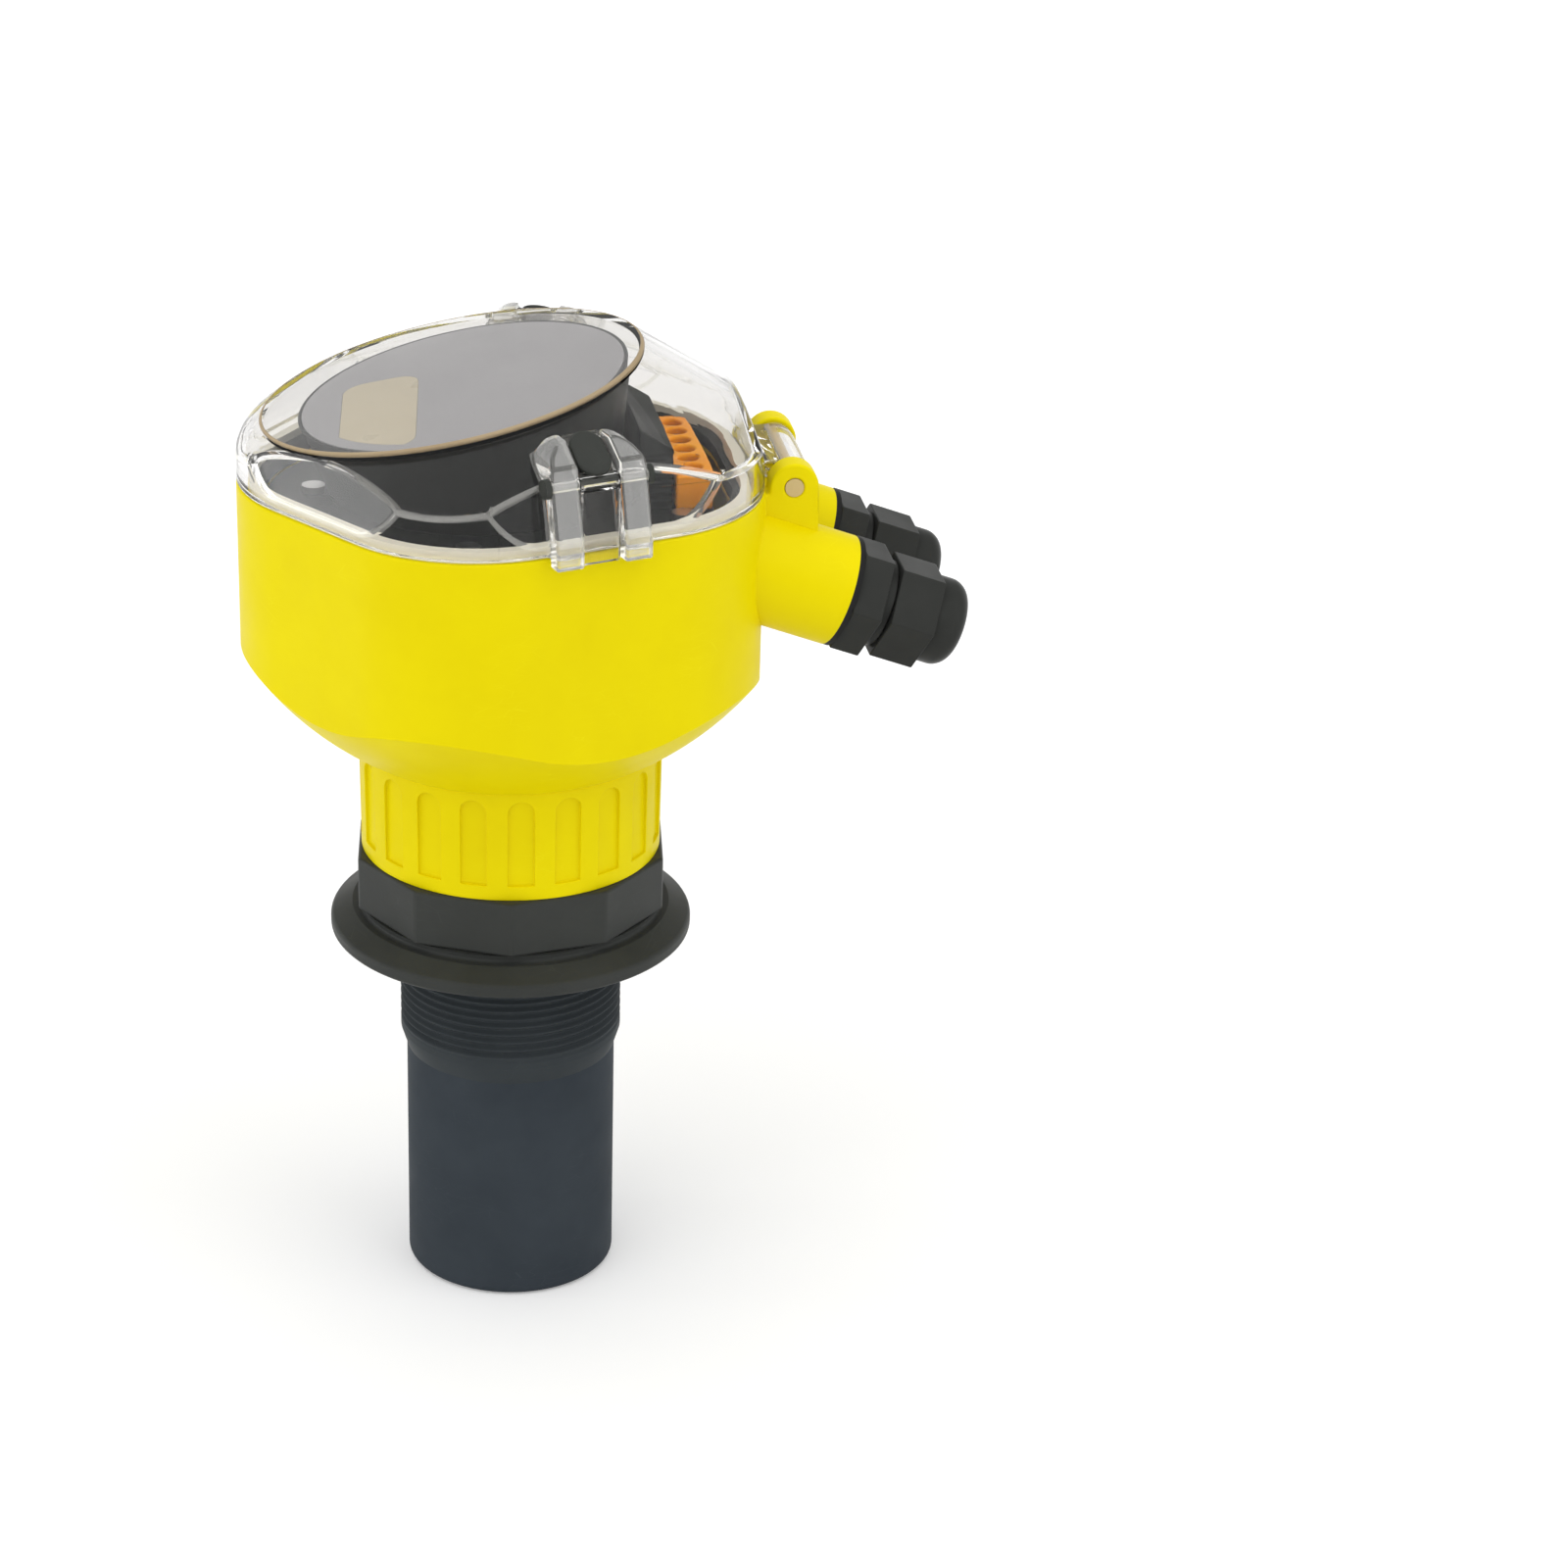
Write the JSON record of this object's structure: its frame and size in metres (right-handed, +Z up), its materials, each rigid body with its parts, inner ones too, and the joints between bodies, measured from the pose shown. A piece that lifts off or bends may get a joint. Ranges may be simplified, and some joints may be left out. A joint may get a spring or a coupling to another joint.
{
  "type": "ultrasonic flow meter",
  "caption": "Ultrasonic flow meter with a clear hinged lid on a pentagonal head, angled cable glands, a flanged collar and a threaded sensor tube.",
  "frame": {"origin": "on the sensor's axis at the flange's underside, where the part seats on a fitting", "axes": "+Z up along the sensor's axis to the head, +X from the axis towards the hinge and the cable glands"},
  "size_m": [0.1874, 0.1368, 0.2637],
  "materials": {
    "collar_plastic": "satin moulded, black",
    "tube_plastic": "satin moulded, dark grey",
    "yellow_plastic": "smooth moulded, bright yellow",
    "ring_plastic": "smooth moulded, bright yellow",
    "gland_plastic": "moulded polyamide, black",
    "clear_plastic": "clear moulded polycarbonate",
    "clip_plastic": "clear moulded polycarbonate",
    "pad_plastic": "dark moulding of the thumb pads and latch pins",
    "pin_plastic": "moulded pin, tan",
    "seal_white": "white silicone",
    "seal_black": "black rubber",
    "deck_plastic": "dark moulded deck",
    "face_plastic": "grey printed foil, unprinted",
    "screen": "liquid crystal glass, beige-grey",
    "terminal_amber": "amber moulding",
    "screw_steel": "zinc plated",
    "screw_brass": "plain",
    "board_laminate": "green lacquer",
    "module_black": "potted case",
    "layer_resin": "cast matching resin",
    "ceramic": "fired ceramic",
    "potting": "cast potting resin"
  },
  "bodies": {
    "head": {"thread_sleeve": "collar_plastic", "flange_collar": "collar_plastic", "sensor_tube": "tube_plastic", "matching_layer": "layer_resin", "piezo_disc": "ceramic", "isolation_ring": "seal_black", "potting_block": "potting", "sensor_lead": "seal_black", "neck_ring": "ring_plastic", "neck_seal": "seal_black", "housing": "yellow_plastic", "lid_seal": "seal_white", "hinge_pin": "pin_plastic", "main_board": "board_laminate", "power_module": "module_black", "board_screws": "screw_steel", "inner_cover": "deck_plastic", "cover_screws": "screw_steel", "display_module": "deck_plastic", "display_face": "face_plastic", "lcd_window": "screen", "terminal_hood": "deck_plastic", "terminal_block": "terminal_amber", "terminal_screws": "screw_brass", "gland_washer_near": "seal_black", "gland_body_near": "gland_plastic", "gland_nut_near": "gland_plastic", "gland_seal_near": "seal_black", "gland_washer_far": "seal_black", "gland_body_far": "gland_plastic", "gland_nut_far": "gland_plastic", "gland_seal_far": "seal_black"},
    "cover_lid": {"lid": "clear_plastic", "latch_pin_near": "pad_plastic", "latch_pin_far": "pad_plastic"},
    "latch_near": {"latch_clip_near": "clip_plastic", "latch_pad_near": "pad_plastic"},
    "latch_far": {"latch_clip_far": "clip_plastic", "latch_pad_far": "pad_plastic"}
  },
  "joints": [
    {"name": "lid_hinge", "type": "hinge", "parent": "head", "child": "cover_lid", "pos_m": [0.0704, 0, 0.1281], "axis": [0, 1, 0], "range_deg": [0, 110]},
    {"name": "latch_near_rock", "type": "hinge", "parent": "cover_lid", "child": "latch_near", "pos_m": [0.01502, -0.05915, 0.14566], "axis": [-0.9511, -0.309, 0], "range_deg": [0, 5], "stiffness_Nm_per_rad": 0.5},
    {"name": "latch_far_rock", "type": "hinge", "parent": "cover_lid", "child": "latch_far", "pos_m": [0.01502, 0.05915, 0.14566], "axis": [0.9511, -0.309, 0], "range_deg": [0, 5], "stiffness_Nm_per_rad": 0.5}
  ]
}
